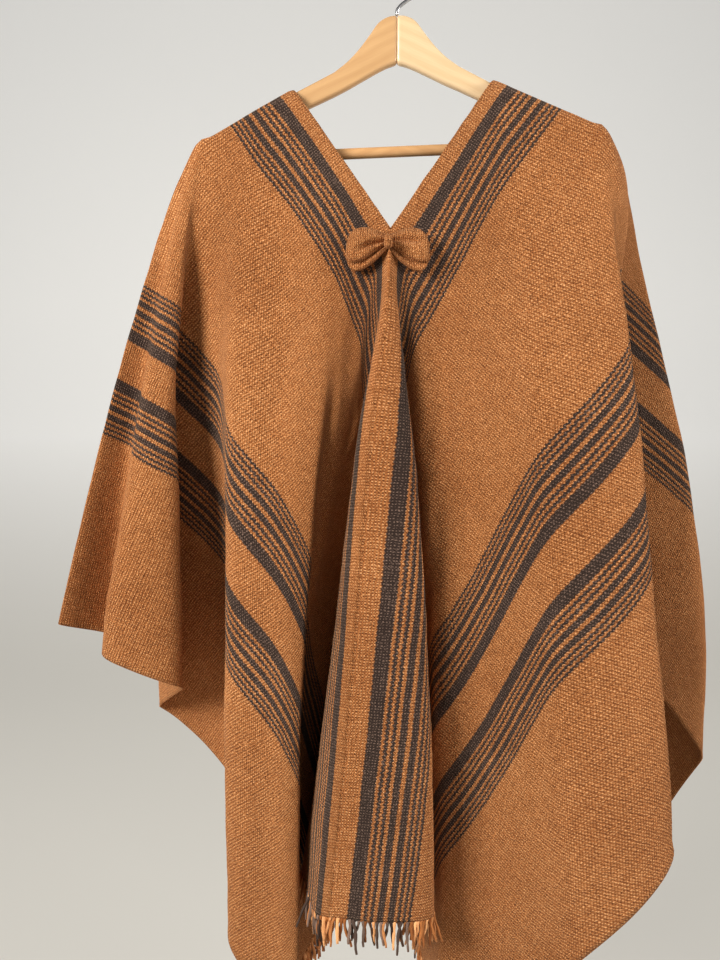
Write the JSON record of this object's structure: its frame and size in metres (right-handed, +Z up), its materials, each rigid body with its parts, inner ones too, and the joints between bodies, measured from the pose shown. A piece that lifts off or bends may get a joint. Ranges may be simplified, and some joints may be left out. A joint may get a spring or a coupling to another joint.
{
  "type": "poncho on a wooden clothes hanger",
  "caption": "Handwoven wool poncho of two straight striped panels with a slit V neck, small bow and fringed hems, hanging on a wooden clothes hanger.",
  "frame": {"origin": "the inside top of the hanger's hook, where the hook rests on what it hangs from", "axes": "+Z up, -Y towards the front of the poncho, +X towards the panel that is on the right when seen from the front"},
  "size_m": [0.7649, 0.2818, 1.2676],
  "materials": {
    "wool_cloth": "coarse handwoven wool, matt",
    "wool_fringe": "twisted wool yarn, matt",
    "hanger_wood": "clear satin varnish",
    "hook_steel": "bright wire"
  },
  "bodies": {
    "root": {"panel_right": "wool_cloth", "panel_left": "wool_cloth", "fringe_front_right": "wool_fringe", "fringe_back_right": "wool_fringe", "fringe_front_left": "wool_fringe", "fringe_back_left": "wool_fringe", "bow_right": "wool_cloth", "bow_left": "wool_cloth", "bow_knot": "wool_cloth", "hanger_arm_right": "hanger_wood", "hanger_arm_left": "hanger_wood", "hanger_bar": "hanger_wood", "hanger_hook": "hook_steel"}
  },
  "joints": []
}
